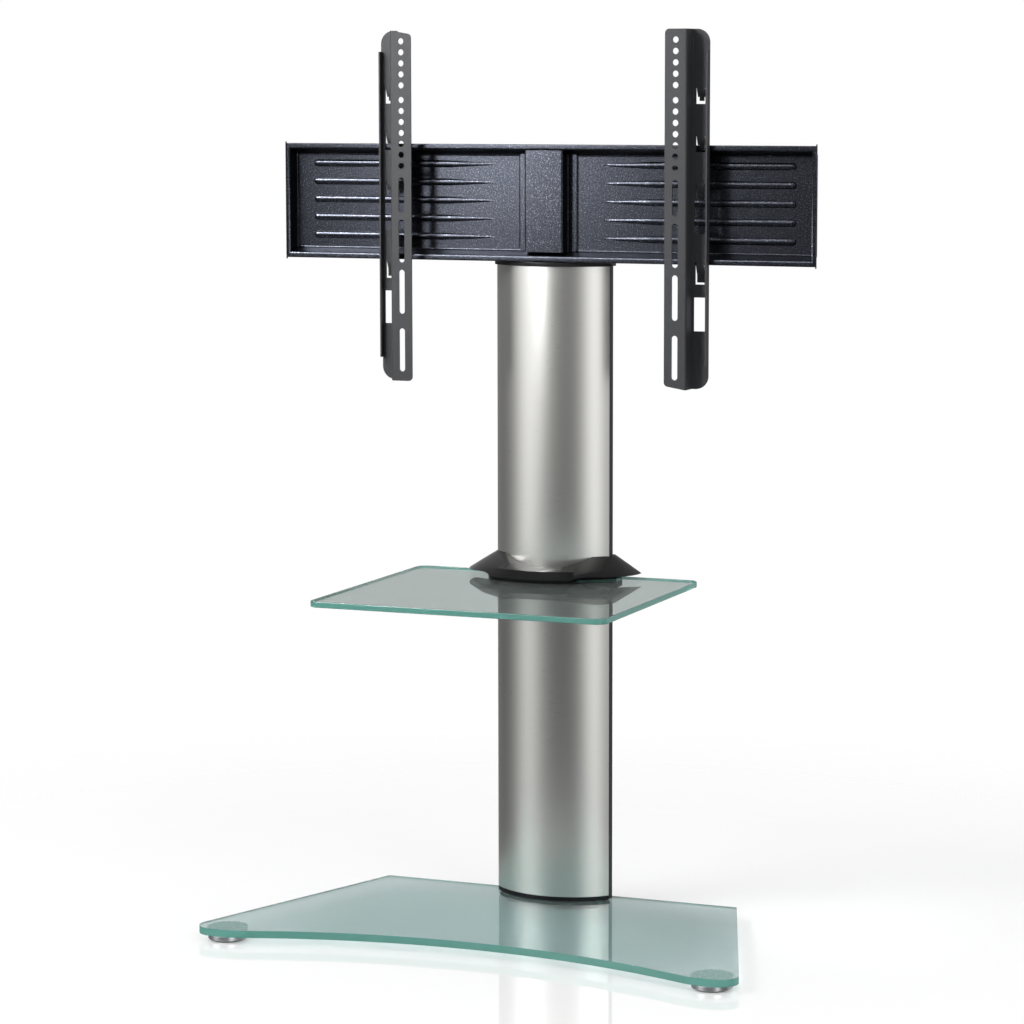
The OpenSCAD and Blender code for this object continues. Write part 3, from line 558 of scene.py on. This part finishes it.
# the studio that reflections show: pale behind the object and above it, two soft boxes in front.
# A box is (azimuth, width, strength). Azimuths run from the front towards +X, in degrees

studioSet = {
    "boxes": [(-46, 20, 0.72), (51, 16, 1.0)], "boxRise": 4, "boxFrom": -0.12,
    "boxLevels": (0.6, 2.2),
    "frontLevel": 0.13, "topLevel": 0.8, "topFrom": 0.3, "topSoft": 0.3,
    "backLevel": 0.55, "backFrom": 0.35, "backSharpness": 4,
    "ambientLow": 0.5, "ambientHigh": 0.8, "upThroughGlass": 0.6, "upFrom": 0.03,
}
s = studioSet
world = bpy.data.worlds.new("studio")
bpy.context.scene.world = world
world.use_nodes = True
tree = world.node_tree
paths = tree.nodes.new("ShaderNodeLightPath")
direction = tree.nodes.new("ShaderNodeSeparateXYZ")
tree.links.new(tree.nodes.new("ShaderNodeTexCoord").outputs["Generated"], direction.inputs[0])
across, depth, rise = (Value(tree, direction.outputs[i]) for i in range(3))
azimuth = across.math("ARCTAN2", depth * -1) * math.degrees(1)
above = ((rise - s["topFrom"]) / s["topSoft"]).clamped()
front = above * s["topLevel"] + s["frontLevel"]
brighter = ((rise - s["boxFrom"]) * s["boxRise"] + 1).between(*s["boxLevels"])
for centre, width, strength in s["boxes"]:
    offset = (azimuth - centre) / width
    front = front + (offset * offset * -1).math("EXPONENT") * (brighter * strength)
behind = ((depth - s["backFrom"]) * s["backSharpness"]).clamped()
mirrored = front * (1 - behind) + behind * s["backLevel"]
seenByCamera, seenThroughGlass, mirrorRay = (Value(tree, paths.outputs["Is " + kind + " Ray"])
                                             for kind in ("Camera", "Transmission", "Glossy"))
throughLevel = 1 - (rise > s["upFrom"]) * (1 - s["upThroughGlass"])
straight = seenByCamera + seenThroughGlass * throughLevel
others = 1 - seenByCamera.math("MAXIMUM", seenThroughGlass)
glossy = mirrorRay * others
ambient = above * (s["ambientHigh"] - s["ambientLow"]) + s["ambientLow"]
strength = straight + glossy * mirrored + (others - glossy) * ambient
background = tree.nodes["Background"]
background.inputs["Color"].default_value = (1, 1, 1, 1)
tree.links.new(strength.socket, background.inputs["Strength"])
print("studio set")

# lamps: azimuth and spread in degrees, the rest in metres and watts. Mirror images show the
# studio's own boxes for the two big lamps, and the rib lamp is there for mirror images alone
columnY = mm(150)   # the lamps stand round the column and aim at target, a height on it
lightSet = {
    "keyLight": {"azimuth": -48, "distance": 2.6, "height": 2.2, "target": 0.7,
                 "size": (1.1, 1.1), "power": 27, "spread": 180, "lights": True, "mirrored": False},
    "sideLight": {"azimuth": 52, "distance": 2.6, "height": 1.8, "target": 0.6,
                  "size": (0.9, 0.9), "power": 10, "spread": 180, "lights": True, "mirrored": False},
    "trayLight": {"azimuth": -26, "distance": 1.45, "height": 1.25, "target": 1.0,
                  "size": (0.24, 0.6), "power": 1.15, "spread": 60, "lights": True, "mirrored": True},
    "ribLight": {"azimuth": -44, "distance": 1.7, "height": 2.14, "target": 1.02,
                 "size": (1.1, 0.66), "power": 29, "spread": 90, "lights": False, "mirrored": True},
}
for name, s in lightSet.items():
    turn = math.radians(s["azimuth"])
    light = bpy.data.lights.new(name, "AREA")
    light.shape = "RECTANGLE"
    light.size, light.size_y = s["size"]
    light.energy = s["power"]
    light.spread = math.radians(s["spread"])
    lamp = bpy.data.objects.new(name, light)
    bpy.context.scene.collection.objects.link(lamp)
    lamp.location = (math.sin(turn) * s["distance"], columnY - math.cos(turn) * s["distance"],
                     s["height"])
    aim = Vector((0, columnY, s["target"])) - lamp.location
    lamp.rotation_mode = "QUATERNION"
    lamp.rotation_quaternion = aim.to_track_quat("-Z", "Y")
    lamp.visible_camera = False
    lamp.visible_diffuse = s["lights"]
    lamp.visible_glossy = s["mirrored"]
print("lamps set")
